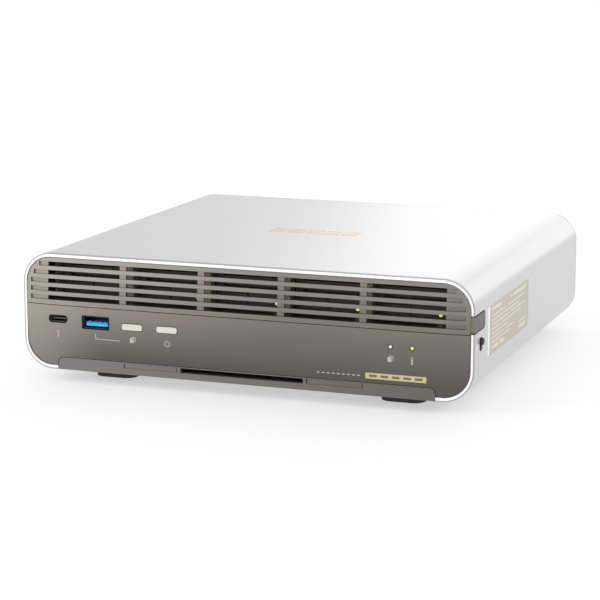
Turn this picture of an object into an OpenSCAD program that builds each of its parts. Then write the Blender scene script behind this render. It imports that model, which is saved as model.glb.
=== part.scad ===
// Compact desktop network storage unit with five front drive bays.
// Origin: centre of the footprint, on the table under the feet. +X right, +Y to the rear, +Z up.

/* [Case] */
// overall width of the case across the side walls
body_w = 215; // [214:0.5:217]
// overall depth, from the button faces to the rear edge of the wrap
body_d = 199; // [197:0.5:201]
// height of the wrap without the feet
body_h = 54.2; // [54:0.1:55]
// height of the rubber feet below the case
foot_h = 5.8; // [5:0.1:7]
// outer radius of the four long case corners
corner_r = 14.2; // [13.5:0.1:15]
// thickness of the aluminium wrap above and below
wall = 1.8; // [1.6:0.1:1.8]
// thickness of the aluminium wrap at its sides
side_wall = 1.4; // [1.3:0.1:1.5]
// half width of the plastic base plate
base_half = 90.3; // [90:0.1:90.3]

/* [Front] */
// how far the middle of the front stands forward of its top and bottom edges
crown_sag = 1.5; // [0.8:0.1:2]
// plan radius of the rounded left and right ends of the front skins
end_r = 60; // [50:1:80]
// plan radius of the left and right ends of the front lip of the wrap
lip_r = 190; // [150:5:230]
// thickness of the plastic front skins
skin = 2; // [1.6:0.1:2.4]
// height of the parting line between cover and lower bezel above the table
part_z = 36.15; // [36:0.05:36.3]
// height of one grille slot
slot_h = 2.1; // [1.6:0.1:2.3]
// vertical pitch of the grille rows
slot_pitch = 3.86; // [3.8:0.02:3.9]
// width of the upright ribs between grille columns
rib_w = 3.2; // [2.6:0.1:4]
// depth of the shallow groove that joins the slots of one row
groove_t = 0.9; // [0.6:0.1:1.2]

/* [Bays] */
// sideways pitch of the five drive bays and of the grille columns
bay_pitch = 38.25; // [38.15:0.05:38.3]
// width of one solid state drive
drive_w = 33.75; // [33:0.05:33.75]
// height of one solid state drive
drive_h = 15; // [9.5:0.5:15]
// length of one drive body without its edge contacts
drive_l = 114.45; // [110:0.05:114.45]

/* [Controls] */
// length of the two front buttons
button_l = 9.9; // [9.4:0.1:10.2]
// height of the two front buttons
button_h = 2.8; // [2.4:0.1:3]
// diameter of the nib that works the cover lock
knob_d = 3.2; // [2.6:0.1:3.2]

/* [Cooling] */
// outer diameter of the blower wheels
wheel_d = 40; // [36:1:42]
// number of blades on each blower wheel
blades = 17; // [11:1:19]

/* [Hidden] */
$fn = 64;
gap = 0.3;
hw = body_w / 2;
y_rear = body_d / 2;
y_btn = -body_d / 2;
y_f = y_btn + 0.3;
z_b = foot_h;
z_t = foot_h + body_h;
z_m = (z_b + z_t) / 2;
y_lip = y_f + crown_sag - 0.4;
flat_half = 93.5;
half_h = body_h / 2 - wall;
crown_r = (half_h * half_h + crown_sag * crown_sag) / (2 * crown_sag);
row_top = z_t - 5.07;
in_w = hw - side_wall - gap;
in_zb = z_b + wall + gap;
in_zt = z_t - wall - gap;
in_r = corner_r - wall - gap;
y_skirt = y_f + 9.2;
cage_z0 = 37.4;
cage_z1 = 57;
bay_half = 18;
cage_y0 = -88.5;
cage_y1 = 42;
tray_y = -83.5;
brd_z = 13.6;
brd_t = 1.6;
top_z = brd_z + brd_t;
fan_x = 45;
fan_y = 69;
fan_z0 = 31.2;
fan_z1 = 55.2;
tab_z0 = part_z + 0.7;
tab_z1 = 43.85;
tab_y1 = -80.9;
notch_z0 = tab_z0 - 0.55;
notch_z1 = tab_z1 + 0.65;
notch_y1 = tab_y1 + 0.9;
knob_y = -86.45;
knob_z = 31.4;
lock_wall = 0.7;
pa_x = -70.7;
pa_z = 29.1;
pc_x = -89.6;
pc_z = 29.75;
b1_x = -52.4;
b2_x = -35.3;
b_z = 28.37;
led_x = [70.3, 80.2];
led_z = 28.75;
jack_x = [30, 50];
tc_x = [-8, 8];
post_x = 86.5;
post_y = [-78, -20, 36];
stand_xy = [[-76, -64], [76, -64], [-76, 30], [76, 30], [-62, 60], [70, 60]];

// ---- helpers ----

module bx(x0, x1, y0, y1, z0, z1)
  translate([x0, y0, z0]) cube([x1 - x0, y1 - y0, z1 - z0]);

// profile in X and Z, drawn through Y
module xz(y0, y1)
  translate([0, y1, 0]) rotate([90, 0, 0]) linear_extrude(height = y1 - y0) children();

// profile in Y and Z, drawn through X
module yz(x0, x1)
  translate([x0, 0, 0]) rotate([90, 0, 90]) linear_extrude(height = x1 - x0) children();

module rrect(x0, x1, y0, y1, r) {
  translate([x0 + r, y0]) square([x1 - x0 - 2 * r, y1 - y0]);
  translate([x0, y0 + r]) square([x1 - x0, y1 - y0 - 2 * r]);
  for (px = [x0 + r, x1 - r])
    for (py = [y0 + r, y1 - r])
      translate([px, py]) circle(r = r);
}

module obround(cx, cy, l, h) {
  translate([cx - (l - h) / 2, cy - h / 2]) square([l - h, h]);
  translate([cx - (l - h) / 2, cy]) circle(d = h);
  translate([cx + (l - h) / 2, cy]) circle(d = h);
}

// plan outline that is flat in the middle and rounded back at both ends
module plan(y0) {
  translate([-flat_half, y0]) square([2 * flat_half, lip_r + 60]);
  translate([-flat_half - 20, y0 + lip_r - 60]) square([2 * (flat_half + 20), 120]);
  for (s = [-1, 1])
    translate([s * flat_half, y0 + lip_r]) circle(r = lip_r, $fn = 400);
}

// everything behind the domed front surface, d deeper than the surface itself
module crown(d) {
  intersection() {
    bx(-flat_half, flat_half, y_f - 1, y_f + 14, z_b, z_t);
    translate([-flat_half, y_f + crown_r, z_m])
      rotate([0, 90, 0]) cylinder(r = crown_r - d, h = 2 * flat_half, $fn = 200);
  }
  for (s = [0, 1])
    mirror([s, 0, 0])
      intersection() {
        translate([flat_half, y_f + end_r, z_m])
          rotate_extrude($fn = 120) intersection() {
            translate([end_r - crown_r, 0]) circle(r = crown_r - d, $fn = 400);
            translate([0, -half_h - 4]) square([end_r + 1, 2 * half_h + 8]);
          }
        bx(flat_half, flat_half + end_r, y_f - 1, y_f + 14, z_b, z_t);
      }
}

// outline of one front button, grown by d
module key_outline(x, d)
  rrect(
    x - button_l / 2 - d, x + button_l / 2 + d,
    b_z - button_h / 2 - d, b_z + button_h / 2 + d, 0.9 + d
  );

module inner_outline(d)
  rrect(-in_w + d, in_w - d, in_zb + d, in_zt - d, in_r - d);

// ---- case ----

module shell() color("#d8d8d8") difference() {
  intersection() {
    xz(y_lip - 1, y_rear) difference() {
      rrect(-hw, hw, z_b, z_t, corner_r);
      rrect(-hw + side_wall, hw - side_wall, z_b + wall, z_t - wall, corner_r - wall);
      translate([-base_half - gap, z_b - 1]) square([2 * (base_half + gap), wall + 2]);
    }
    translate([0, 0, -1]) linear_extrude(height = z_t + 2) plan(y_lip);
  }
  // notch for the finger tab of the cover
  yz(hw - wall - 1, hw + 1)
    rrect(y_f - 12, notch_y1, notch_z0, notch_z1, 2.3);
  // slot of the cover lock, in a wall thinned from the inside
  yz(hw - wall - 1, hw + 1)
    rrect(knob_y - 2.6, knob_y + 2.6, 27.05, 33.35, 2);
  bx(hw - wall - 1, hw - lock_wall, -89.9, -82.5, 21.3, 35.75);
  // shallow pockets that hold the side label and the emblem flush
  yz(hw - 0.2, hw + 1) {
    translate([-71.4, 22]) square([69, 22.2]);
    translate([-74.9, 22]) square([3, 22]);
  }
  emblem_bars(0.1, 1);
}

module base_plate() color("#6f6d69") difference() {
  union() {
    bx(-base_half, base_half, y_lip + 2, y_rear - 1, z_b, z_b + 2);
    xz(y_lip + 0.2, y_lip + 2.2) difference() {
      rrect(-90.4, 90.4, z_b - 4, 11.5, 2.6);
      translate([-100, z_b - 10]) square([200, 10]);
    }
    for (s = [0, 1])
      mirror([s, 0, 0]) {
        bx(88.6, base_half - 0.4, -88, 94, z_b + 1, 9.4);
        bx(88.6, 95, -88, 94, 8.1, 9.4);
      }
  }
  // wide air slot in the front lip, with a shallow panel on each side of it
  bx(-29.5, 29.5, y_lip - 1, y_lip + 4, 8.65, 10.95);
  for (s = [0, 1])
    mirror([s, 0, 0])
      bx(31, 57.4, y_lip - 1, y_lip + 0.5, 8.7, 11);
  for (x = [-57.2, -31.2, 31.2, 57.2])
    bx(x - 0.3, x + 0.3, y_lip - 1, y_lip + 1, 8.9, 11);
  // intake vents under the board
  for (sx = [-1, 1])
    for (i = [0:7])
      bx(sx * 38 - 22, sx * 38 + 22, -44 + i * 8, -40.6 + i * 8, z_b - 1, z_b + 3);
}

module lower_bezel() color("#77736c") difference() {
  intersection() {
    xz(y_f - 1, y_skirt) difference() {
      inner_outline(0);
      translate([-hw, part_z - 0.15]) square([body_w, 40]);
      rrect(-90.4 - gap, 90.4 + gap, 0, 11.5 + gap, 2.9);
    }
    crown(0);
  }
  intersection() {
    xz(y_f - 1, y_skirt + 1) difference() {
      inner_outline(skin);
      translate([-hw, part_z - 0.15 - skin]) square([body_w, 40]);
    }
    crown(skin);
  }
  xz(y_f - 1, y_f + 5) {
    obround(pc_x, pc_z, 9.8, 3.8);
    rrect(pa_x - 6.95, pa_x + 6.95, pa_z - 3.2, pa_z + 3.2, 0.6);
    key_outline(b1_x, 0.3);
    key_outline(b2_x, 0.3);
    for (x = led_x)
      translate([x, led_z]) circle(d = 2.2);
  }
}

module grille_rows(h)
  for (i = [0:4])
    translate([0, row_top - i * slot_pitch - h / 2]) children(i == 0 ? 0 : i == 1 ? 1 : 2);

module front_cover() color("#8a857d") {
  difference() {
    intersection() {
      xz(y_f - 1, y_skirt) difference() {
        inner_outline(0);
        translate([-hw, -10]) square([body_w, part_z + 0.15 + 10]);
      }
      crown(0);
    }
    // hollow back
    intersection() {
      xz(y_f - 1, y_skirt + 1) difference() {
        inner_outline(skin);
        translate([-hw, -10]) square([body_w, part_z + 0.15 + skin + 10]);
      }
      crown(skin);
    }
    // shallow grooves, one for each row
    difference() {
      xz(y_f - 1, y_f + 6) grille_rows(slot_h) {
        translate([-99.4, 0]) square([198.8, slot_h]);
        translate([-102.2, 0]) square([204.4, slot_h]);
        translate([-103.7, 0]) square([207.4, slot_h]);
      }
      crown(groove_t);
    }
    // through slots, five in each row
    for (i = [0:4])
      for (k = [-2:2])
        bx(
          k * bay_pitch - bay_pitch / 2 + rib_w / 2 - (k == -2 ? 0.95 : 0),
          k * bay_pitch + bay_pitch / 2 - rib_w / 2 + (k == 2 ? 0.95 : 0),
          y_f - 1, y_f + 6,
          row_top - i * slot_pitch - slot_h / 2, row_top - i * slot_pitch + slot_h / 2
        );
  }
  // finger tab that reaches round the right edge into the side notch
  intersection() {
    yz(in_w - 1.2, hw - 0.05)
      rrect(y_f - 6, tab_y1, tab_z0, tab_z1, 2);
    union() {
      crown(0.6);
      bx(in_w - 2, hw, y_f + 8, tab_y1, tab_z0, tab_z1);
    }
  }
}

module rear_panel() color("#8b8d8f") difference() {
  xz(y_rear - 2.6, y_rear - 1) rrect(
    -in_w, in_w, z_b + 2.05, in_zt, in_r
  );
  // exhaust slots behind the blowers
  for (s = [-1, 1])
    for (i = [0:11])
      bx(s * fan_x - 21 + i * 3.6, s * fan_x - 19.2 + i * 3.6, y_rear - 4, y_rear, 33.5, 53.5);
  // port openings
  for (x = jack_x)
    bx(x - 8.2, x + 8.2, y_rear - 4, y_rear, top_z - 0.1, top_z + 13.8);
  xz(y_rear - 4, y_rear) {
    for (x = tc_x)
      obround(x, top_z + 2.1, 9.6, 3.8);
    translate([-28 - 6.8, top_z - 0.1]) square([13.6, 6.2]);
    translate([-50 - 7.8, top_z - 0.1]) square([15.6, 6]);
    translate([-74, top_z + 5.5]) circle(d = 8.4);
    translate([-62, top_z + 4]) circle(d = 2.2);
    rrect(83.5, 90.5, 23, 26, 0.5);
  }
}

module foot(x, y) color("#2d2d2a") translate([x, y, 0]) difference() {
  linear_extrude(height = foot_h) rrect(-10, 10, -8, 8, 5);
  translate([0, 0, -1]) linear_extrude(height = 1.4) rrect(-6.5, 6.5, -4.5, 4.5, 2.5);
}

module side_label() color("#cbbf9c") yz(hw - 0.2, hw - 0.04) {
  translate([-71.35, 22.05]) square([68.9, 22.1]);
  translate([-74.85, 22.05]) square([2.9, 21.9]);
}

// two rows of five plain bars; grow widens each bar on all sides
module emblem_bars(grow, h)
  for (i = [-2:2])
    for (y = [-7, -0.6])
      translate([i * 9.2 - 2.3 - grow, y - grow, z_t - 0.2]) cube([7 + 2 * grow, 3.8 + 2 * grow, h]);

module top_emblem() color("#c9a36a") emblem_bars(0, 0.16);

// ---- cover lock ----

module lock_slider() color("#2b2b2b") {
  translate([hw - 1.2, knob_y, knob_z]) rotate([0, 90, 0]) cylinder(d = knob_d, h = 2.8);
  bx(hw - 2.4, hw - 1.15, -89.6, -82.8, 24.2, 35.4);
}

module lock_flag() color("#c02020")
  bx(hw - 1.15, hw - 1, knob_y - 2.5, knob_y + 2.5, 24.6, knob_z - knob_d / 2 - 0.2);

// ---- front controls ----

module button(x) color("#e6decb") {
  xz(y_btn, y_btn + 3.4) key_outline(x, 0);
  xz(y_f + skin + 0.4, y_f + skin + 1.3) key_outline(x, 0.9);
  translate([x, y_f + skin + 1, b_z]) rotate([-90, 0, 0]) cylinder(d = 2.4, h = 4.9);
}

module front_board() color("#20402c") difference() {
  bx(-97, 88, y_f + 10.7, y_f + 12.3, 18, 34.4);
  for (x = [-80, 0, 86])
    translate([x, y_f + 10, 20.5]) rotate([-90, 0, 0]) cylinder(d = 2.8, h = 3);
}

module type_a(x, z, y0, y1) difference() {
  bx(x - 6.6, x + 6.6, y0, y1, z - 2.9, z + 2.9);
  bx(x - 6.2, x + 6.2, y0 - 1, y1 - 1.6, z - 2.5, z + 2.5);
}

module type_a_front() color("#b9bbbd") type_a(pa_x, pa_z, y_f + 0.9, y_f + 10.7);

module type_a_tongue() color("#18a7dd")
  bx(pa_x - 5.4, pa_x + 5.4, y_f + 1.8, y_f + 9.1, pa_z - 1.8, pa_z);

module type_c(x, z, y0, y1, s) {
  xz(y0, y1) difference() {
    obround(x, z, 8.94, 3.2);
    obround(x, z, 8.3, 2.56);
  }
  ya = s > 0 ? y1 - 1.2 : y0;
  xz(ya, ya + 1.2) obround(x, z, 8.6, 2.9);
  yb = s > 0 ? y0 + 0.8 : y0 + 1;
  yc = s > 0 ? y1 - 1 : y1 - 0.8;
  bx(x - 3.35, x + 3.35, yb, yc, z - 0.35, z + 0.35);
}

module type_c_front() color("#3a3b3d") type_c(pc_x, pc_z, y_f + 1.3, y_f + 10.7, 1);

module tact_switches() color("#55575a")
  for (x = [b1_x, b2_x]) {
    bx(x - 3, x + 3, y_f + 9.4, y_f + 10.7, b_z - 1.9, b_z + 1.9);
    translate([x, y_f + 9, b_z]) rotate([-90, 0, 0]) cylinder(d = 1.8, h = 0.6);
  }

module reset_switch() color("#55575a")
  bx(-64, -60, y_rear - 11, y_rear - 7.9, top_z, top_z + 6);

module status_lenses() color("#dfe8ee")
  for (x = led_x)
    translate([x, y_f + 0.15, led_z]) rotate([-90, 0, 0]) cylinder(d = 1.8, h = 10.5);

// ---- drive bays ----

module cage_plate(z) difference() {
  bx(-96, 96, cage_y0, cage_y1, z, z + 1);
  if (z < 50)
    for (k = [-2:2])
      for (j = [0:3])
        bx(k * bay_pitch - 12, k * bay_pitch + 12, -60 + j * 24, -48 + j * 24, z - 1, z + 2);
}

module cage_floor() color("#9a9c9d") cage_plate(cage_z0);

module cage_top() color("#9a9c9d") cage_plate(cage_z1 - 1);

// upright walls between the bays, with narrow turned front edges
module cage_walls() color("#9a9c9d") {
  for (s = [-1, 1])
    bx(s > 0 ? 94.8 : -96, s > 0 ? 96 : -94.8, cage_y0, cage_y1, cage_z0 + 1, cage_z1 - 1);
  for (k = [-1.5:1:1.5]) {
    bx(k * bay_pitch - 1.2, k * bay_pitch + 1.2, cage_y0, cage_y1, cage_z0 + 1, cage_z1 - 1);
    bx(k * bay_pitch - 1.5, k * bay_pitch + 1.5, cage_y0 - 1, cage_y0 + 0.4, cage_z0 + 1, cage_z1 - 1);
  }
}

module tray(i) {
  c = (i - 3) * bay_pitch;
  color("#4a4a48") {
    difference() {
      bx(c - 17.3, c + 17.3, tray_y, tray_y + 2.7, cage_z0 + 1.5, 55.4);
      // vents above the pull rail
      for (j = [0:2])
        bx(c - 14, c + 14, tray_y - 1, tray_y + 4, 47 + j * 2.7, 48.5 + j * 2.7);
      // two latch windows and the light pipe bore
      for (x = [2, 5])
        bx(c + x - 0.9, c + x + 0.9, tray_y - 1, tray_y + 4, 41, 43);
      translate([c + 11.9, tray_y - 1, 41]) rotate([-90, 0, 0]) cylinder(d = 1.6, h = 5, $fn = 32);
    }
    bx(c - 14, c - 2, tray_y - 1.2, tray_y, 40, 44.6);
    bx(c - 17.7, c + 17.7, tray_y + 2.7, 33, cage_z0 + 1.5, cage_z0 + 2.2);
    for (s = [-1, 1])
      bx(
        c + (s < 0 ? -17.7 : 17), c + (s < 0 ? -17 : 17.7),
        tray_y + 2.7, 30, cage_z0 + 1.5, cage_z0 + 8.5
      );
  }
}

module drive(i) {
  c = (i - 3) * bay_pitch;
  z0 = cage_z0 + 2.2;
  color("#5a5d60") difference() {
    bx(c - drive_w / 2, c + drive_w / 2, -80, -80 + drive_l, z0, z0 + drive_h);
    for (j = [-2:2])
      bx(c + j * 6 - 1.5, c + j * 6 + 1.5, -74, 28, z0 + drive_h - 1.6, z0 + drive_h + 1);
  }
  color("#1f5a34")
    bx(c - 9.5, c + 9.5, -80 + drive_l - 1, -80 + drive_l + 4.3, z0 + 6.7, z0 + 8.3);
}

module backplane() color("#1d3f2a") difference() {
  bx(-94, 94, cage_y1, cage_y1 + 1.6, 31.6, 56.8);
  for (k = [-1.5:1:1.5])
    translate([k * bay_pitch, cage_y1 - 1, 47]) rotate([-90, 0, 0]) cylinder(d = 7, h = 4);
}

module bay_connectors() color("#222222")
  for (k = [-2:2])
    difference() {
      bx(k * bay_pitch - 13, k * bay_pitch + 13, 34.9, cage_y1, 43, 51.4);
      bx(k * bay_pitch - 9.9, k * bay_pitch + 9.9, 34, 39.2, 45.9, 48.3);
    }

// ---- electronics ----

module mainboard() color("#1f4a30") difference() {
  bx(-82, 82, -70, 95.6, brd_z, top_z);
  for (p = stand_xy)
    translate([p[0], p[1], brd_z - 1]) cylinder(d = 3.2, h = 4, $fn = 32);
}

module processor() color("#3c3f42") {
  bx(-14, 14, -29, -1, top_z, top_z + 1.4);
  bx(-7, 7, -21, -9, top_z + 1.4, top_z + 3.2);
}

module heatsink() color("#b4b7ba") {
  bx(-30, 30, -45, 15, top_z + 3.2, top_z + 6.2);
  for (i = [0:14])
    bx(-29.5 + i * 4.16, -28.5 + i * 4.16, -45, 15, top_z + 6.2, 35.8);
}

module memory_chips() color("#2a2c2e")
  for (x = [-54, 54])
    for (y = [-36, -18, 0])
      bx(x - 6, x + 6, y - 6, y + 6, top_z, top_z + 1.2);

module power_coils() color("#6d7073")
  for (i = [0:5])
    bx(-34 + i * 12, -26 + i * 12, 22, 30, top_z, top_z + 4.2);

module capacitors() color("#8d9196")
  for (i = [0:6])
    translate([-36 + i * 12, 37, top_z]) cylinder(d = 6.3, h = 7.7, $fn = 32);

module coin_cell() color("#c4c6c8") translate([-57, -56, 0]) {
  translate([0, 0, top_z]) cylinder(d = 23, h = 1.4);
  translate([0, 0, top_z + 1.4]) cylinder(d = 20, h = 3.2);
}

module network_jacks() color("#a9acae")
  for (x = jack_x)
    difference() {
      bx(x - 7.9, x + 7.9, y_rear - 22, y_rear - 1, top_z, top_z + 13.4);
      bx(x - 5.9, x + 5.9, y_rear - 14, y_rear, top_z + 4.6, top_z + 11.2);
      bx(x - 3.2, x + 3.2, y_rear - 14, y_rear, top_z + 2.4, top_z + 4.7);
    }

module type_c_rear() color("#b9bbbd")
  for (x = tc_x) {
    type_c(x, top_z + 2.1, y_rear - 9, y_rear - 1.2, -1);
    bx(x - 3.6, x + 3.6, y_rear - 8.6, y_rear - 4, top_z, top_z + 0.6);
  }

module type_a_rear() color("#b9bbbd") {
  difference() {
    bx(-28 - 6.6, -28 + 6.6, y_rear - 14, y_rear - 1, top_z, top_z + 5.8);
    bx(-28 - 6.2, -28 + 6.2, y_rear - 12, y_rear, top_z + 0.4, top_z + 5.4);
  }
  bx(-28 - 5.6, -28 + 5.6, y_rear - 12.2, y_rear - 2, top_z + 2.8, top_z + 4.6);
}

module video_port() color("#b9bbbd") {
  difference() {
    bx(-50 - 7.5, -50 + 7.5, y_rear - 12, y_rear - 1, top_z, top_z + 5.6);
    bx(-50 - 7, -50 + 7, y_rear - 10.6, y_rear, top_z + 1.8, top_z + 5.1);
    bx(-50 - 5.6, -50 + 5.6, y_rear - 10.6, y_rear, top_z + 0.6, top_z + 1.9);
  }
  bx(-50 - 5.2, -50 + 5.2, y_rear - 10.8, y_rear - 2.2, top_z + 2.6, top_z + 3.8);
}

module dc_jack() color("#1e1e1e") {
  difference() {
    union() {
      bx(-74 - 4.5, -74 + 4.5, y_rear - 15, y_rear - 3, top_z, top_z + 10.4);
      translate([-74, y_rear - 4, top_z + 5.5]) rotate([-90, 0, 0]) cylinder(d = 8, h = 3);
    }
    translate([-74, y_rear - 12, top_z + 5.5]) rotate([-90, 0, 0]) cylinder(d = 6.3, h = 14);
  }
  translate([-74, y_rear - 12.5, top_z + 5.5]) rotate([-90, 0, 0]) cylinder(d = 2, h = 10.5);
}

module reset_button() color("#333333") {
  translate([-62, y_rear - 5, top_z + 4]) rotate([-90, 0, 0]) cylinder(d = 1.5, h = 3.6);
  translate([-62, y_rear - 7, top_z + 4]) rotate([-90, 0, 0]) cylinder(d = 3, h = 2.2);
}

// ---- cooling ----

module blower(s) {
  c = s * fan_x;
  color("#262626") {
    difference() {
      bx(c - 30, c + 30, 44, y_rear - 3, fan_z0, fan_z1);
      translate([c, fan_y, fan_z0 + 1.2]) cylinder(d = 47, h = fan_z1 - fan_z0 - 2.4);
      bx(c - 23.5, c + 23.5, fan_y, y_rear, fan_z0 + 1.2, fan_z1 - 1.2);
      translate([c, fan_y, fan_z1 - 2]) cylinder(d = 34, h = 4);
      for (x = [-26.5, 26.5])
        for (y = [48, 92])
          translate([c + x, y, fan_z0 - 1]) cylinder(d = 3.2, h = 40, $fn = 32);
    }
    translate([c, fan_y, fan_z0 + 1]) cylinder(d = 3, h = 18, $fn = 32);
  }
}

module wheel(s) color("#3a3a3a") translate([s * fan_x, fan_y, 0]) {
  difference() {
    union() {
      translate([0, 0, fan_z0 + 2.2]) cylinder(d = wheel_d - 1, h = 1.4);
      translate([0, 0, fan_z0 + 2.2]) cylinder(d = 19, h = 17.5);
    }
    translate([0, 0, fan_z0 + 1]) cylinder(d = 3.16, h = 19.2, $fn = 32);
  }
  for (i = [0:blades - 1])
    rotate([0, 0, i * 360 / blades])
      translate([wheel_d / 2 - 6, -0.5, fan_z0 + 3])
        cube([5.6, 1, 17]);
  difference() {
    translate([0, 0, fan_z0 + 19.2]) cylinder(d = wheel_d, h = 1.2);
    translate([0, 0, fan_z0 + 18]) cylinder(d = wheel_d - 7, h = 4);
  }
}

module fan_bracket() color("#9a9c9d") difference() {
  bx(-90, 90, 44, y_rear - 3, fan_z0 - 1.2, fan_z0);
  for (s = [-1, 1]) {
    for (y = [52, 60, 68, 76, 84])
      bx(s * fan_x - 18, s * fan_x + 18, y, y + 4, fan_z0 - 2, fan_z0 + 1);
    for (x = [-26.5, 26.5])
      for (y = [48, 92])
        translate([s * fan_x + x, y, fan_z0 - 3]) cylinder(d = 2.9, h = 6, $fn = 32);
  }
}

module posts() color("#b0b2b4") {
  for (s = [-1, 1]) {
    for (y = post_y)
      translate([s * post_x, y, z_b + 2]) cylinder(d = 4, h = cage_z0 - z_b - 2, $fn = 32);
    for (y = [52, 90])
      translate([s * post_x, y, z_b + 2]) cylinder(d = 4, h = fan_z0 - 1.2 - z_b - 2, $fn = 32);
  }
}

module standoffs() color("#c2a86a")
  for (p = stand_xy)
    translate([p[0], p[1], z_b + 2]) difference() {
      cylinder(d = 5, h = brd_z - z_b - 2, $fn = 32);
      translate([0, 0, 1]) cylinder(d = 2.7, h = 10, $fn = 32);
    }

module board_screws() color("#c8cacc")
  for (p = stand_xy)
    translate([p[0], p[1], 0]) {
      translate([0, 0, top_z - 4.4]) cylinder(d = 2.6, h = 4.6, $fn = 32);
      translate([0, 0, top_z]) difference() {
        cylinder(d = 5, h = 1.8, $fn = 32);
        translate([-0.4, -1.6, 1]) cube([0.8, 3.2, 2]);
        translate([-1.6, -0.4, 1]) cube([3.2, 0.8, 2]);
      }
    }

module fan_screws() color("#c8cacc")
  for (s = [-1, 1])
    for (x = [-26.5, 26.5])
      for (y = [48, 92])
        translate([s * fan_x + x, y, 0]) {
          translate([0, 0, fan_z0 - 1]) cylinder(d = 2.8, h = fan_z1 - fan_z0 + 1.2, $fn = 32);
          translate([0, 0, fan_z1]) difference() {
            cylinder(d = 5, h = 1.8, $fn = 32);
            translate([-0.4, -1.6, 1]) cube([0.8, 3.2, 2]);
            translate([-1.6, -0.4, 1]) cube([3.2, 0.8, 2]);
          }
        }

module ribbon() color("#d9d6cc") {
  bx(8, 24, y_f + 12.3, y_f + 12.7, top_z, 26);
  bx(8, 24, y_f + 12.3, -62, top_z, top_z + 0.4);
}

// ---- nodes ----

shell();
base_plate();
lower_bezel();
front_cover();
lock_slider();
lock_flag();
rear_panel();
foot(-70, -74.5);  // foot_fl
foot(70, -74.5);  // foot_fr
foot(-70, 78);  // foot_rl
foot(70, 78);  // foot_rr
side_label();
top_emblem();
button(b2_x);  // power_button
button(b1_x);  // copy_button
front_board();
type_a_front();
type_a_tongue();
type_c_front();
tact_switches();
status_lenses();
cage_floor();
cage_top();
cage_walls();
tray(1);  // tray_1
tray(2);  // tray_2
tray(3);  // tray_3
tray(4);  // tray_4
tray(5);  // tray_5
drive(1);  // drive_1
drive(2);  // drive_2
drive(3);  // drive_3
drive(4);  // drive_4
drive(5);  // drive_5
backplane();
bay_connectors();
mainboard();
processor();
heatsink();
memory_chips();
power_coils();
capacitors();
coin_cell();
network_jacks();
type_c_rear();
type_a_rear();
video_port();
dc_jack();
reset_button();
reset_switch();
blower(-1);  // blower_left
blower(1);  // blower_right
wheel(-1);  // wheel_left
wheel(1);  // wheel_right
fan_bracket();
posts();
standoffs();
board_screws();
fan_screws();
ribbon();
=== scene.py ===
import math
import bmesh
import bpy
from mathutils import Matrix, Quaternion, Vector


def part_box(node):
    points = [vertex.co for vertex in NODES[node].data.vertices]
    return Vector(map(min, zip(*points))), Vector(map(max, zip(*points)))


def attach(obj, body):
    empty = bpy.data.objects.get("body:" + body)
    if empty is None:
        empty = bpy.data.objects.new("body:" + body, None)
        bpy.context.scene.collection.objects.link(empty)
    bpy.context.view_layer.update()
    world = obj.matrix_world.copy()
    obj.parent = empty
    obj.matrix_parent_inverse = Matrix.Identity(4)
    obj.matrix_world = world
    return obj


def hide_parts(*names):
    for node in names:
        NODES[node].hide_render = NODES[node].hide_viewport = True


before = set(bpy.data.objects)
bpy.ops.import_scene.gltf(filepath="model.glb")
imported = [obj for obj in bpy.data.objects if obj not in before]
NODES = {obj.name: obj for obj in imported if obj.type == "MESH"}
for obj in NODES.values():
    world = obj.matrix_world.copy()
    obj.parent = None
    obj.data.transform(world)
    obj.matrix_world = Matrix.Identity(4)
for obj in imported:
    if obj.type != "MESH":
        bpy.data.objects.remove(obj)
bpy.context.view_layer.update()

SCENE = bpy.context.scene
MM = 0.001
BAYS = range(1, 6)

# ---------------------------------------------------------------- layout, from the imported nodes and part.scad
BEZEL_LO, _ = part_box("lower_bezel")
SHELL_LO, SHELL_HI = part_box("shell")
LENS_LO, LENS_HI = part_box("status_lenses")
LABEL_LO, LABEL_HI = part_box("side_label")
TONGUE_LO, TONGUE_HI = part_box("type_a_tongue")
NIB_LO, NIB_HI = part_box("lock_slider")

WALL = 1.8 * MM                           # thickness of the shell above and below
CORNER_R = 14.2 * MM                      # outer corners of the shell
Y_LIP = SHELL_LO.y                        # front edge of the shell
Z_MID = (SHELL_LO.z + SHELL_HI.z) / 2

# The front is domed: an arc over its height, which swings back at the left and right ends.
Y_FRONT = BEZEL_LO.y                      # foremost line of the dome
CROWN_SAG = 1.5 * MM                      # how far the dome falls back at its upper and lower edge
HALF_H = (SHELL_HI.z - SHELL_LO.z) / 2 - WALL
CROWN_R = (HALF_H ** 2 + CROWN_SAG ** 2) / (2 * CROWN_SAG)
FLAT_HALF = 93.5 * MM                     # where the straight part of the front ends
END_R = 60 * MM

LENS_R = 0.9                              # radius of a status light pipe, in mm
LENS_X = (LENS_LO.x / MM + LENS_R, LENS_HI.x / MM - LENS_R)
LENS_Z = (LENS_LO.z + LENS_HI.z) / 2 / MM
KNOB_Y, KNOB_Z = -86.45 * MM, 31.4 * MM   # centre of the round nib of the cover lock
KNOB_R = 1.6 * MM


def front_y(x, z):
    """Depth of the domed front surface at x, z."""
    sag = CROWN_R - math.sqrt(max(CROWN_R ** 2 - (z - Z_MID) ** 2, 0))
    over = max(abs(x) - FLAT_HALF, 0)
    return Y_FRONT + END_R - math.sqrt(max((END_R - sag) ** 2 - over ** 2, 0))


def middle_x(name):
    """Middle of a node from left to right, in mm."""
    lo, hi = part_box(name)
    return (lo.x + hi.x) / 2 / MM


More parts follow.
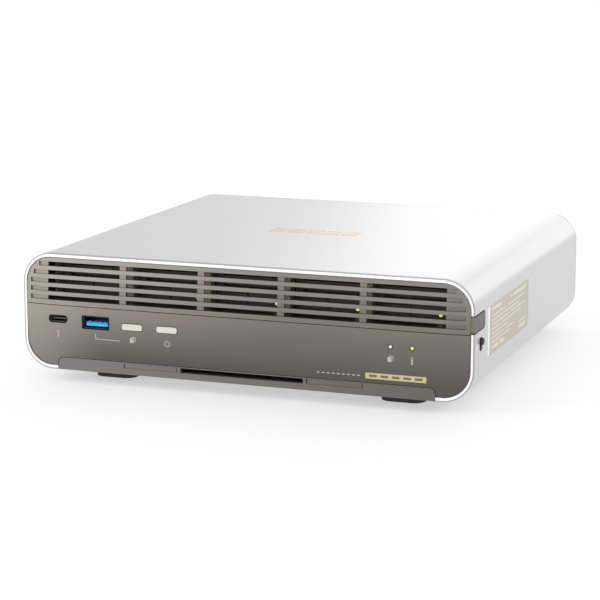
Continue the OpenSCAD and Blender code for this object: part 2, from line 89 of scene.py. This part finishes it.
# ---------------------------------------------------------------- material helpers
class Graph:
    """Small wrapper that adds and links shader nodes."""

    def __init__(self, name):
        self.mat = bpy.data.materials.new(name)
        self.mat.use_nodes = True
        self.tree = self.mat.node_tree
        self.tree.nodes.clear()
        self.out = self.add("ShaderNodeOutputMaterial")
        self.coord = self.add("ShaderNodeTexCoord").outputs["Object"]

    def add(self, kind, **inputs):
        node = self.tree.nodes.new(kind)
        for key, value in inputs.items():
            self.put(node.inputs[key.replace("_", " ")], value)
        return node

    def put(self, socket, value):
        if isinstance(value, bpy.types.NodeSocket):
            self.tree.links.new(value, socket)
        else:
            socket.default_value = value

    def noise(self, scale, detail, stretch=None):
        vector = self.coord
        if stretch:
            vector = self.add("ShaderNodeMapping", Vector=vector, Scale=stretch).outputs[0]
        return self.add("ShaderNodeTexNoise", Vector=vector, Scale=scale, Detail=detail).outputs[0]

    def math(self, op, *values):
        node = self.tree.nodes.new("ShaderNodeMath")
        node.operation = op
        for i, value in enumerate(values):
            self.put(node.inputs[i], value)
        return node.outputs[0]

    def length(self, a, b):
        """Length of the flat vector a, b."""
        return self.math("SQRT", self.math("ADD", self.math("MULTIPLY", a, a), self.math("MULTIPLY", b, b)))

    def remap(self, value, a, b, c, d, smooth=False):
        """The value's range a to b, mapped to c to d and clamped there."""
        node = self.tree.nodes.new("ShaderNodeMapRange")
        if smooth:
            node.interpolation_type = "SMOOTHSTEP"
        for i, v in enumerate((value, a, b, c, d)):
            self.put(node.inputs[i], v)
        return node.outputs[0]

    def mix(self, fac, a, b):
        node = self.tree.nodes.new("ShaderNodeMix")
        node.data_type = "RGBA"
        for i, v in ((0, fac), (6, a), (7, b)):
            self.put(node.inputs[i], v)
        return node.outputs[2]

    def scale(self, colour, gain):
        node = self.tree.nodes.new("ShaderNodeVectorMath")
        node.operation = "SCALE"
        self.put(node.inputs[0], colour)
        self.put(node.inputs["Scale"], gain)
        return node.outputs[0]

    def split(self):
        node = self.add("ShaderNodeSeparateXYZ", Vector=self.coord)
        return node.outputs[0], node.outputs[1], node.outputs[2]

    def facing_front(self):
        """1 where a surface faces the front or the rear, 0 where it faces sideways, up or down."""
        normal = self.add("ShaderNodeTexCoord").outputs["Normal"]
        return self.math("ABSOLUTE", self.add("ShaderNodeSeparateXYZ", Vector=normal).outputs[1])

    def bump(self, height, strength, distance):
        return self.add("ShaderNodeBump", Height=height, Strength=strength, Distance=distance).outputs[0]


def col(rgb, gain=1.0):
    return tuple(c * gain for c in rgb) + (1.0,)


def srgb(r, g, b):
    """Linear colour of an sRGB one given as 0 to 255."""
    out = []
    for c in (r, g, b):
        c /= 255.0
        out.append(c / 12.92 if c <= 0.04045 else ((c + 0.055) / 1.055) ** 2.4)
    return tuple(out)


WHITE = (1.0, 1.0, 1.0, 1.0)
NOISE_LO, NOISE_HI = 0.3, 0.7             # the range that most of a noise texture's values lie in
COAT_ROUGH = 0.15
GRAIN_DEPTH = 0.05 * MM


def surface(
    name, base=None, rough=0.5, metal=0.0, spread=0.05, spread_scale=60.0, grain=0.2, grain_mm=0.3,
    rough_spread=0.06, coat=0.0, stretch=None, colour=None,
):
    """Principled surface with colour drift, roughness drift and a fine moulded or blasted grain."""
    g = Graph(name)
    drift = g.noise(spread_scale, 4.0)
    fine = g.noise(1.0 / (grain_mm * MM), 2.0, stretch)
    if colour is None:
        tint = g.mix(drift, col(base, 1 - spread), col(base, 1 + spread))
    else:
        tint = colour(g, drift)
    smoothest = max(rough - rough_spread, 0.02)
    g.shade = g.add("ShaderNodeBsdfPrincipled", Base_Color=tint, Metallic=metal, Specular_IOR_Level=0.5)
    g.put(g.shade.inputs["Roughness"], g.remap(fine, NOISE_LO, NOISE_HI, smoothest, rough + rough_spread))
    g.put(g.shade.inputs["Coat Weight"], coat)
    g.put(g.shade.inputs["Coat Roughness"], COAT_ROUGH)
    g.put(g.shade.inputs["Normal"], g.bump(fine, grain, GRAIN_DEPTH))
    g.put(g.out.inputs["Surface"], g.shade.outputs[0])
    return g


def glow(g, colour, strength):
    g.put(g.shade.inputs["Emission Color"], colour)
    g.put(g.shade.inputs["Emission Strength"], strength)
    return g


# ---------------------------------------------------------------- material colours that vary over a piece
def shell_colour(g, drift):
    """Blasted aluminium; the front lip gets a painted highlight where it faces the front, inside a rim of
    painted shade where its rounded edge turns away, and the rear rim is darker.
    """
    lip_deep, rear_deep = 1.6 * MM, 1.4 * MM
    rim_outer, rim_inner = 0.35 * MM, 0.6 * MM
    x, y, z = g.split()
    base = srgb(197, 197, 198)
    blasted = g.mix(drift, col(base, 0.985), col(base, 1.01))
    front = g.math("LESS_THAN", y, Y_LIP + lip_deep)
    lip = g.math("MULTIPLY", g.remap(g.facing_front(), 0.88, 0.96, 0.0, 1.0), front)
    # distance from the rectangle through the centres of the four corner arcs; the outline is CORNER_R from it
    qx = g.math("SUBTRACT", g.math("ABSOLUTE", x), SHELL_HI.x - CORNER_R)
    off_middle = g.math("ABSOLUTE", g.math("SUBTRACT", z, Z_MID))
    qz = g.math("SUBTRACT", off_middle, SHELL_HI.z - Z_MID - CORNER_R)
    round_off = g.length(g.math("MAXIMUM", qx, 0.0), g.math("MAXIMUM", qz, 0.0))
    depth = g.math("ADD", round_off, g.math("MINIMUM", g.math("MAXIMUM", qx, qz), 0.0))
    # painted shade: the outer part of the lip's rounded edge, which turns away from the front, is darker
    rim_shade_mask = g.remap(depth, CORNER_R - rim_inner, CORNER_R - rim_outer, 0.0, 1.0)
    with_rim_shade = g.mix(g.math("MULTIPLY", rim_shade_mask, front), blasted, col(srgb(156, 157, 158)))
    # painted highlight: the lip is near white where it faces the front
    lip_highlight_mask = g.math("MULTIPLY", lip, g.math("SUBTRACT", 1.0, rim_shade_mask))
    rear = g.math("GREATER_THAN", y, SHELL_HI.y - rear_deep)
    with_rim_shade = g.mix(rear, with_rim_shade, col(srgb(158, 159, 160)))
    return g.mix(lip_highlight_mask, with_rim_shade, col(srgb(252, 252, 252)))


def bezel_colour(g, drift):
    """Bronze-grey satin paint with painted light: lighter towards the top and the left end, and painted shade
    on edges and side walls.
    """
    x, y, z = g.split()
    # painted light: gain along the top and along the bottom, each from left to right, then from the bottom to
    # the top
    upper = g.remap(x, -80 * MM, 20 * MM, 1.95, 1.18)
    lower = g.remap(x, -108 * MM, -62 * MM, 1.2, 0.42, True)
    rise = g.remap(z, 12 * MM, 52 * MM, 0.0, 1.0)
    body = g.math("ADD", lower, g.math("MULTIPLY", g.math("SUBTRACT", upper, lower), rise))
    # painted shade: darker where a face turns away from the front
    gain = g.math("MULTIPLY", body, g.remap(g.facing_front(), 0.45, 0.9, 0.42, 1.0))
    base = srgb(126, 121, 114)
    return g.scale(g.mix(drift, col(base, 0.975), col(base, 1.025)), gain)


def base_colour(g, drift):
    """Grey-brown plastic, a little darker towards the right end."""
    x, y, z = g.split()
    base = srgb(122, 118, 114)
    light = g.mix(drift, col(base, 0.95), col(base, 1.05))
    return g.mix(g.remap(x, -95 * MM, 95 * MM, 0.0, 1.0), light, col(srgb(98, 95, 89)))


def tongue_colour(g, drift):
    """Blue insulator painted as lit and shaded copies of one blue: bright cyan along its lower front edge, and
    painted shade in deeper blue above and to the right.
    """
    x, y, z = g.split()
    up = g.remap(z, TONGUE_LO.z, TONGUE_HI.z + 0.2 * MM, 0.0, 1.0, True)
    across = g.remap(x, TONGUE_LO.x, TONGUE_HI.x, 0.0, 0.3)
    lit_cyan = g.mix(drift, col(srgb(52, 226, 255)), col(srgb(40, 208, 250)))
    # painted light and shade: lit cyan low and in front, shaded deeper blue above and to the right
    return g.mix(g.math("MAXIMUM", up, across), lit_cyan, col(srgb(24, 140, 236)))


def knob_colour(g, drift):
    """Dark knob with a painted highlight: a paler centre on its end face."""
    face_deep = 1.0 * MM
    x, y, z = g.split()
    r = g.length(g.math("SUBTRACT", y, KNOB_Y), g.math("SUBTRACT", z, KNOB_Z))
    face = g.math("GREATER_THAN", x, NIB_HI.x - face_deep)
    # painted highlight on the middle of the end face
    centre_highlight = g.math("MULTIPLY", g.remap(r, 0.5 * MM, 1.25 * MM, 1.0, 0.0, True), face)
    dark = g.mix(drift, col(srgb(36, 38, 37)), col(srgb(46, 49, 47)))
    return g.mix(centre_highlight, dark, col(srgb(112, 116, 113)))


def label_colour(g, drift):
    """White strip at the front end of the label, beige film behind it."""
    strip_end = LABEL_LO.y + 3.15 * MM
    x, y, z = g.split()
    beige = g.mix(drift, col(srgb(178, 168, 145)), col(srgb(188, 179, 156)))
    white = g.mix(drift, col(srgb(246, 243, 241)), col(srgb(252, 250, 249)))
    return g.mix(g.math("LESS_THAN", y, strip_end), beige, white)


def lens_material():
    """Two light pipes in one node: a white-blue one and a green one, each bright at its centre."""
    black = col((0.02, 0.025, 0.03))
    g = surface("status_light_pipes", rough=0.25, grain=0.05, colour=lambda g, drift: black)
    left_x, right_x = (x * MM for x in LENS_X)
    x, y, z = g.split()
    right = g.math("GREATER_THAN", x, (left_x + right_x) / 2)
    centre_x = g.math("ADD", g.math("MULTIPLY", right, right_x - left_x), left_x)
    r = g.length(g.math("SUBTRACT", x, centre_x), g.math("SUBTRACT", z, LENS_Z * MM))
    core = g.remap(r, 0.35 * MM, 0.85 * MM, 1.0, 0.0, True)
    blue = g.mix(core, col((0.02, 0.05, 0.065)), col((0.85, 0.98, 1.0)))
    green = g.mix(core, col((0.06, 0.12, 0.0)), col((0.80, 1.0, 0.22)))
    return glow(g, g.mix(right, blue, green), g.math("ADD", core, 0.7))


def led_material():
    g = surface("bay_light", srgb(120, 200, 60), rough=0.3, grain=0.05)
    return glow(g, col((0.50, 0.74, 0.11)), 1.3)


# ---------------------------------------------------------------- materials
MAT = {
    # painted, blasted and moulded outsides
    "shell": surface(
        "wrap_blasted_aluminium", rough=0.24, metal=0.45, grain=0.12, grain_mm=0.18, spread_scale=25.0,
        rough_spread=0.03, colour=shell_colour,
    ),
    "bezel": surface(
        "bronze_grey_satin", rough=0.40, metal=0.35, grain=0.10, grain_mm=0.16, spread_scale=18.0,
        rough_spread=0.05, colour=bezel_colour,
    ),
    "base": surface(
        "base_textured_plastic", rough=0.55, grain=0.35, grain_mm=0.35, spread_scale=30.0, colour=base_colour,
    ),
    "dark": surface(
        "dark_moulded_plastic", srgb(44, 44, 44), rough=0.5, spread=0.12, grain=0.3, grain_mm=0.4,
    ),
    "tray": surface("tray_glass_filled", srgb(74, 73, 71), rough=0.48, spread=0.10, grain=0.3, grain_mm=0.3),
    "rubber": surface(
        "foot_rubber", srgb(52, 52, 48), rough=0.75, spread=0.10, spread_scale=120.0, grain=0.5, grain_mm=0.3,
    ),
    "rear": surface(
        "rear_painted_steel", srgb(120, 121, 123), rough=0.5, metal=0.2, spread=0.03, grain=0.25,
        grain_mm=0.25,
    ),
    "button": surface("ivory_button", srgb(223, 213, 202), rough=0.32, spread=0.02, grain=0.08, grain_mm=0.2),
    "knob": surface("lock_knob", rough=0.42, grain=0.2, colour=knob_colour),
    "red": surface("red_flag", srgb(140, 24, 34), rough=0.4, spread=0.05, grain=0.1),
    "gold": surface(
        "emblem_gold", srgb(208, 178, 140), rough=0.3, metal=0.8, spread=0.05, grain=0.06, grain_mm=0.1,
        stretch=(1, 10, 1),
    ),
    "label": surface(
        "side_label_film", rough=0.38, spread_scale=90.0, grain=0.06, coat=0.2, colour=label_colour,
    ),
    # connectors
    "plated": surface(
        "plated_steel", srgb(186, 188, 190), rough=0.26, metal=1.0, spread=0.05, grain=0.10, grain_mm=0.12,
        stretch=(1, 8, 1),
    ),
    "blue": surface("blue_insulator", rough=0.35, grain=0.1, colour=tongue_colour),
    "port_navy": surface(
        "port_shroud_navy", srgb(50, 56, 78), rough=0.35, metal=0.5, spread=0.08, grain=0.12,
    ),
    "port_dark": surface(
        "port_shroud_dark", srgb(86, 85, 84), rough=0.35, metal=0.6, spread=0.08, grain=0.12,
    ),
    "pad": surface("contact_pads", srgb(226, 232, 240), rough=0.25, metal=0.6, spread=0.04, grain=0.05),
    # inside
    "board": surface(
        "circuit_board", srgb(24, 74, 48), rough=0.38, spread=0.25, spread_scale=350.0, grain=0.25,
        grain_mm=0.5,
    ),
    "cage": surface(
        "zinc_sheet", srgb(166, 162, 155), rough=0.45, metal=0.5, spread=0.12, spread_scale=140.0, grain=0.15,
    ),
    "drive": surface(
        "drive_enclosure", srgb(96, 98, 100), rough=0.42, metal=0.8, spread=0.06, grain=0.2, grain_mm=0.25,
    ),
    "chip": surface("chip_package", srgb(34, 35, 37), rough=0.45, spread=0.1, grain=0.2),
    "sink": surface(
        "sink_aluminium", srgb(196, 198, 200), rough=0.34, metal=1.0, spread=0.04, grain=0.12,
        stretch=(1, 6, 1),
    ),
    "coil": surface("ferrite", srgb(96, 98, 100), rough=0.6, spread=0.1, grain=0.4),
    "brass": surface("turned_brass", srgb(196, 164, 92), rough=0.3, metal=1.0, spread=0.05, grain=0.08),
    "ribbon": surface(
        "flat_cable", srgb(214, 210, 198), rough=0.45, spread=0.05, grain=0.2, stretch=(14, 1, 1),
    ),
    # marks and lights
    "ink": surface(
        "light_marking_ink", srgb(188, 182, 168), rough=0.5, spread=0.06, spread_scale=400.0, grain=0.1,
    ),
    "print": surface(
        "label_print", srgb(220, 213, 198), rough=0.45, spread=0.05, spread_scale=400.0, grain=0.05,
    ),
    "badge": surface(
        "gold_marking_ink", srgb(202, 190, 146), rough=0.42, metal=0.2, spread=0.06, spread_scale=300.0,
        grain=0.1,
    ),
    "badge_dark": surface("badge_dark_ink", srgb(112, 104, 84), rough=0.5, spread=0.06, grain=0.1),
    "lens": lens_material(),
    "led": led_material(),
    # painted glow around the status lights, teal on the left and olive on the right
    "collar_left": surface("collar_teal", srgb(60, 78, 86), rough=0.35, spread=0.06, grain=0.05),
    "collar_right": surface("collar_olive", srgb(80, 90, 16), rough=0.35, spread=0.06, grain=0.05),
}

NODES_OF = {
    "shell": "shell",
    "base": "base_plate",
    "bezel": "lower_bezel front_cover",
    "knob": "lock_slider",
    "red": "lock_flag",
    "rear": "rear_panel",
    "rubber": "foot_fl foot_fr foot_rl foot_rr",
    "label": "side_label",
    "gold": "top_emblem",
    "button": "power_button copy_button",
    "port_navy": "type_a_front",
    "port_dark": "type_c_front",
    "blue": "type_a_tongue",
    "lens": "status_lenses",
    "board": "front_board backplane mainboard",
    "dark": "tact_switches bay_connectors dc_jack reset_button reset_switch"
            " blower_left blower_right wheel_left wheel_right",
    "cage": "cage_floor cage_top cage_walls fan_bracket",
    "chip": "processor memory_chips",
    "sink": "heatsink capacitors",
    "coil": "power_coils",
    "plated": "coin_cell network_jacks type_c_rear type_a_rear video_port posts board_screws fan_screws",
    "brass": "standoffs",
    "ribbon": "ribbon",
    "tray": " ".join("tray_%d" % i for i in BAYS),
    "drive": " ".join("drive_%d" % i for i in BAYS),
}
MAT_OF = {node: mat for mat, nodes in NODES_OF.items() for node in nodes.split()}

EDGE_MM = {
    "shell": 0.35, "lower_bezel": 0.2, "front_cover": 0.2, "base_plate": 0.3, "rear_panel": 0.15,
    "power_button": 0.3, "copy_button": 0.3,
    "foot_fl": 0.8, "foot_fr": 0.8, "foot_rl": 0.8, "foot_rr": 0.8,
}
SHARP_ANGLE = math.radians(40)

for name, obj in NODES.items():
    for slot in obj.material_slots:
        slot.link = "OBJECT"
        slot.material = MAT[MAT_OF[name]].mat
    if name in EDGE_MM:
        bevel = obj.modifiers.new("edges", "BEVEL")
        bevel.width = EDGE_MM[name] * MM
        bevel.segments = 2
        bevel.limit_method = "ANGLE"
        bevel.angle_limit = SHARP_ANGLE
        bevel.harden_normals = True


# ---------------------------------------------------------------- piece helpers
def piece(name, bm, mat, body):
    """Makes an object of the mesh, gives it its material and ties it to its body."""
    mesh = bpy.data.meshes.new(name)
    bm.normal_update()
    bm.to_mesh(mesh)
    bm.free()
    obj = bpy.data.objects.new(name, mesh)
    SCENE.collection.objects.link(obj)
    mesh.materials.append(MAT[mat].mat)
    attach(obj, body)
    return obj


def circle(count):
    """Angles of the points of a full circle."""
    return [2 * math.pi * k / count for k in range(count)]


def bridge(bm, loops):
    """Quads between each loop of points and the next."""
    for a, b in zip(loops, loops[1:]):
        n = len(a)
        for k in range(n):
            bm.faces.new((a[k], a[(k + 1) % n], b[(k + 1) % n], b[k]))


def slab(bm, outline, place, lift, depth):
    """Thin raised shape: outline is a list of (u, v) in mm, place maps u, v, height to a point."""
    top = [bm.verts.new(place(u, v, lift)) for u, v in outline]
    low = [bm.verts.new(place(u, v, -depth)) for u, v in outline]
    bm.faces.new(top)
    bm.faces.new(list(reversed(low)))
    n = len(outline)
    for k in range(n):
        bm.faces.new((top[k], low[k], low[(k + 1) % n], top[(k + 1) % n]))


def rect(cx, cy, w, h):
    corners = ((-1, -1), (1, -1), (1, 1), (-1, 1))
    return [(cx + sx * w / 2, cy + sy * h / 2) for sx, sy in corners]


def round_rect(cx, cy, w, h, r, steps=5):
    outline = []
    for sx, sy, a in ((1, -1, -90), (1, 1, 0), (-1, 1, 90), (-1, -1, 180)):
        for k in range(steps + 1):
            t = math.radians(a + 90 * k / steps)
            along, across = sx * (w / 2 - r) + r * math.cos(t), sy * (h / 2 - r) + r * math.sin(t)
            outline.append((cx + along, cy + across))
    return outline


def arc_band(cx, cy, r0, r1, a0, a1, steps=28):
    """Outlines of the small quads that make an arc band from angle a0 to a1, in degrees."""
    outlines = []
    for k in range(steps):
        t0 = math.radians(a0 + (a1 - a0) * k / steps)
        t1 = math.radians(a0 + (a1 - a0) * (k + 1) / steps)
        corners = ((r0, t0), (r1, t0), (r1, t1), (r0, t1))
        outlines.append([(cx + r * math.cos(t), cy + r * math.sin(t)) for r, t in corners])
    return outlines


# ---------------------------------------------------------------- marks on the front
INK, SINK = 0.03, 0.10                    # how far a mark stands above the surface and reaches into it, in mm


def on_front(u, v, h):
    """u, v are x and z in mm on the domed front; h is the height above it in mm."""
    x, z = u * MM, v * MM
    return Vector((x, front_y(x, z) - h * MM, z))


def mark(name, outlines, mat="ink", lift=INK, depth=SINK):
    """One mark on the front, made of thin shapes."""
    bm = bmesh.new()
    for outline in outlines:
        slab(bm, outline, on_front, lift, depth)
    piece(name, bm, mat, "chassis")


def arrow_both_ways(cx, cz):
    """Small upright arrow with a head at each end."""
    half_w, head_z, tip_z = 0.5, 0.95, 1.75
    return [
        rect(cx, cz, 0.4, 2.3),
        [(cx - half_w, cz + head_z), (cx + half_w, cz + head_z), (cx, cz + tip_z)],
        [(cx - half_w, cz - head_z), (cx, cz - tip_z), (cx + half_w, cz - head_z)],
    ]


def two_sheets(cx, cz, s):
    """Two overlapping sheets, the rear one an outline; s is their size."""
    return [
        round_rect(cx - 0.35 * s, cz - 0.35 * s, 2.0 * s, 2.3 * s, 0.3 * s),
        rect(cx + 0.45 * s, cz + 1.25 * s, 2.0 * s, 0.32 * s),
        rect(cx + 1.35 * s, cz + 0.25 * s, 0.32 * s, 2.3 * s),
    ]


def letter_i(cx, cz):
    """Dot, stem and the two strokes across it."""
    return [
        round_rect(cx, cz + 1.85, 0.8, 0.7, 0.34),
        rect(cx, cz, 0.65, 2.3),
        rect(cx - 0.2, cz + 1.0, 1.0, 0.3),
        rect(cx, cz - 1.1, 1.25, 0.3),
    ]


POWER_X = middle_x("power_button")
# a small arrow pointing both ways under the type-C opening, for data in and out
mark("mark_type_c", arrow_both_ways(-89.75, 22.75))
# line that joins the type-A opening to the copy button
mark("mark_copy_line", [rect(-70.8, 22.75, 0.35, 2.7), rect(-64.85, 21.55, 12.2, 0.35)])
mark("mark_copy_button", two_sheets(middle_x("copy_button"), 22.5, 1.0))
mark("mark_copy_light", two_sheets(LENS_X[0], 23.4, 0.95))
mark("mark_power", arc_band(POWER_X, 22.0, 1.05, 1.42, 125, 415) + [rect(POWER_X, 23.0, 0.38, 1.6)])
mark("mark_info", letter_i(LENS_X[1], 22.7))

# painted glow: a thin ring around each status light, coloured like the light that spills around it
for side, cx in zip(("left", "right"), LENS_X):
    mark("light_halo_" + side, arc_band(cx, LENS_Z, 0.95, 1.45, 0, 360), "collar_" + side)

# generic badge: a plain gold bar with five dark windows, one for each bay, and a dashed rule beside it
BADGE_X, BADGE_Z = 72.7, 14.95
WINDOW_PITCH = 5.2
WINDOWS = [round_rect(BADGE_X + (i - 3) * WINDOW_PITCH, BADGE_Z, 3.6, 1.1, 0.3) for i in BAYS]
DASH_X, DASH_PITCH, DASHES = 36.9, 2.35, 9
mark("badge_bar", [round_rect(BADGE_X, BADGE_Z, 27.8, 2.7, 0.35)], "badge")
mark("badge_windows", WINDOWS, "badge_dark", lift=INK + 0.02, depth=0.0)
mark("badge_rule", [rect(DASH_X + k * DASH_PITCH, 14.7, 1.3, 0.42) for k in range(DASHES)], "badge")


# ---------------------------------------------------------------- rows of plain bars on the side label
def on_label(u, v, h):
    """u, v are y and z in mm on the label; h is the height above it in mm."""
    return Vector((LABEL_HI.x + h * MM, u * MM, v * MM))


BAR_START = -68
BAR_ROWS = [
    # middle z, height, and the stretches of bar along y, in mm
    (41.9, 1.5, ((BAR_START, -52), (-36, -33), (-30, -7))),
    (38.9, 0.7, ((BAR_START, -44), (-41, -12))),
    (36.9, 0.7, ((BAR_START, -50), (-47, -20))),
    (34.9, 0.7, ((BAR_START, -38), (-35, -8))),
    (32.9, 0.7, ((BAR_START, -54), (-51, -28), (-25, -16))),
    (30.9, 0.7, ((BAR_START, -41),)),
    (28.9, 0.7, ((BAR_START, -47), (-44, -31))),
    (26.9, 0.7, ((BAR_START, -36), (-20, -8))),
    (24.6, 1.5, ((BAR_START, -57), (-54, -46), (-20, -8))),
]
BAR_LIFT = 0.02
bm = bmesh.new()
for z, height, spans in BAR_ROWS:
    for a, b in spans:
        slab(bm, rect((a + b) / 2, z, b - a, height), on_label, BAR_LIFT, BAR_LIFT)
piece("label_bars", bm, "print", "chassis")


# ---------------------------------------------------------------- contact pads in the front type-A opening
def on_tongue(u, v, h):
    """u, v are x and y in mm on top of the tongue; h is the height above it in mm."""
    return Vector((u * MM, v * MM, TONGUE_HI.z + h * MM))


PAD_PITCH, PAD_W, PAD_L, PAD_LIFT = 2.5, 1.0, 5.6, 0.12
PAD_Y = TONGUE_LO.y / MM + 3.2
bm = bmesh.new()
for k in range(4):
    pad_x = middle_x("type_a_tongue") + (k - 1.5) * PAD_PITCH
    slab(bm, rect(pad_x, PAD_Y, PAD_W, PAD_L), on_tongue, PAD_LIFT, 0.0)
piece("type_a_pads", bm, "pad", "chassis")


# ---------------------------------------------------------------- cover lock
PLATE_T, PLATE_CORNER = 1.25, 0.4         # in mm
DOME_H = 1.2 * MM
DOME_STEPS = 9
DOME_POWER = 0.7                          # below 1 the dome stays full further out
NIB_POINTS = 32


def on_plate(u, v, h):
    """u, v are y and z in mm on the slider's inner face; h is the height above it in mm."""
    return Vector((NIB_LO.x + h * MM, u * MM, v * MM))


def lock_nib():
    """The slider's flat plate behind the wall, and its round nib with a domed tip, as one piece."""
    plate_x = NIB_LO.x + PLATE_T * MM
    mid, size = (NIB_LO + NIB_HI) / 2 / MM, (NIB_HI - NIB_LO) / MM
    bm = bmesh.new()
    slab(bm, round_rect(mid.y, mid.z, size.y, size.z, PLATE_CORNER), on_plate, PLATE_T, 0.0)
    profile = [(plate_x - 0.02 * MM, KNOB_R)]
    for k in range(DOME_STEPS):
        t = math.radians(90 * k / DOME_STEPS)
        profile.append((NIB_HI.x - DOME_H + DOME_H * math.sin(t), KNOB_R * math.cos(t) ** DOME_POWER))
    loops = [
        [bm.verts.new((x, KNOB_Y + r * math.cos(t), KNOB_Z + r * math.sin(t))) for t in circle(NIB_POINTS)]
        for x, r in profile
    ]
    bridge(bm, loops)
    tip = bm.verts.new((NIB_HI.x, KNOB_Y, KNOB_Z))
    for k in range(NIB_POINTS):
        bm.faces.new((loops[-1][k], loops[-1][(k + 1) % NIB_POINTS], tip))
    bm.faces.new(list(reversed(loops[0])))
    bmesh.ops.recalc_face_normals(bm, faces=bm.faces)
    nib = piece("lock_nib", bm, "knob", "lock")
    for face in nib.data.polygons:
        face.use_smooth = face.center.x > plate_x
    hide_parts("lock_slider")


lock_nib()

# ---------------------------------------------------------------- bay lights, each on its own tray
BAY_LIGHT_X = 11.9                        # to the right of the tray's middle, in mm
BAY_LIGHT_Y = 1.2                         # behind the tray's front, in mm
BAY_LIGHT_Z = 41.0 * MM
BAY_LIGHT_RINGS = ((0.78, 0.6), (0.78, -0.15), (0.6, -0.42), (0.3, -0.55))    # radius and y, in mm
BAY_LIGHT_POINTS = 20


def bay_light(i):
    """Light pipe with a rounded tip."""
    tray_lo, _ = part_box("tray_%d" % i)
    cx = middle_x("tray_%d" % i) + BAY_LIGHT_X
    y0 = tray_lo.y + BAY_LIGHT_Y * MM
    bm = bmesh.new()
    loops = [
        [
            bm.verts.new(((cx + r * math.cos(t)) * MM, y0 + dy * MM, BAY_LIGHT_Z + r * math.sin(t) * MM))
            for t in circle(BAY_LIGHT_POINTS)
        ]
        for r, dy in BAY_LIGHT_RINGS
    ]
    bridge(bm, loops)
    bm.faces.new(loops[-1])
    bm.faces.new(list(reversed(loops[0])))
    bmesh.ops.recalc_face_normals(bm, faces=bm.faces)
    piece("bay_light_%d" % i, bm, "led", "bay_%d" % i)


for i in BAYS:
    bay_light(i)

# ---------------------------------------------------------------- floor and world
FLOOR_HALF, FLOOR_CELLS, FLOOR_GLOW = 6.0, 8, 0.5
WORLD_STRENGTH = 0.92

floor_finish = surface(
    "studio_floor", srgb(190, 190, 190), rough=0.8, spread=0.004, spread_scale=3.0, grain=0.02, grain_mm=2.0,
)
glow(floor_finish, WHITE, FLOOR_GLOW)
bm = bmesh.new()
bmesh.ops.create_grid(bm, x_segments=FLOOR_CELLS, y_segments=FLOOR_CELLS, size=FLOOR_HALF)
mesh = bpy.data.meshes.new("floor")
bm.to_mesh(mesh)
bm.free()
floor = bpy.data.objects.new("floor", mesh)
mesh.materials.append(floor_finish.mat)
SCENE.collection.objects.link(floor)

world = bpy.data.worlds.new("studio")
SCENE.world = world
world.use_nodes = True
back = world.node_tree.nodes["Background"]
back.inputs["Color"].default_value = WHITE
back.inputs["Strength"].default_value = WORLD_STRENGTH


# ---------------------------------------------------------------- lights
def softbox(name, place, target, width, height, watts, roll=0.0):
    """Area light aimed at a point and turned about its own axis by roll degrees."""
    light = bpy.data.lights.new(name, "AREA")
    light.energy = watts
    light.shape = "RECTANGLE"
    light.size = width
    light.size_y = height
    obj = bpy.data.objects.new(name, light)
    SCENE.collection.objects.link(obj)
    obj.location = place
    aim = (Vector(target) - Vector(place)).to_track_quat("-Z", "Y")
    obj.rotation_euler = (aim @ Quaternion((0.0, 0.0, 1.0), math.radians(roll))).to_euler()


# a leaning softbox behind, which the right half of the top mirrors
softbox("rear_softbox", (-0.11, 1.5, 0.53), (-0.11, 0.0, 0.53), width=0.85, height=1.2, watts=2.4, roll=-33.0)
# one beside it, for the round right corner
softbox("corner_softbox", (0.64, 1.5, 0.42), (0.64, 0.0, 0.42), width=0.55, height=0.75, watts=1.15)
# a small one at the front left
softbox("front_softbox", (-0.7, -1.0, 0.7), (0.0, -0.1, 0.03), width=0.6, height=0.6, watts=2.5)

# ---------------------------------------------------------------- camera, at the photograph's viewing angle
CAMERA_AT = Vector((0.335231, -0.940245, 0.224637))
YAW, PITCH, ROLL = 0.34954, 0.19632, 0.00029      # in radians
FOCAL_PX, FRAME_PX, SENSOR_MM = 2080.44, 600.0, 36.0

look = Vector((-math.sin(YAW) * math.cos(PITCH), math.cos(YAW) * math.cos(PITCH), -math.sin(PITCH)))
level_right = look.cross(Vector((0, 0, 1))).normalized()
level_up = level_right.cross(look)
right = math.cos(ROLL) * level_right + math.sin(ROLL) * level_up
up = -math.sin(ROLL) * level_right + math.cos(ROLL) * level_up
lens = bpy.data.cameras.new("camera")
lens.sensor_width = SENSOR_MM
lens.lens = SENSOR_MM * FOCAL_PX / FRAME_PX
lens.clip_start, lens.clip_end = 0.05, 50.0
camera = bpy.data.objects.new("camera", lens)
SCENE.collection.objects.link(camera)
turn = Matrix((right, up, -look)).transposed()
camera.matrix_world = Matrix.Translation(CAMERA_AT) @ turn.to_4x4()
SCENE.camera = camera
SCENE.view_settings.view_transform = "Standard"
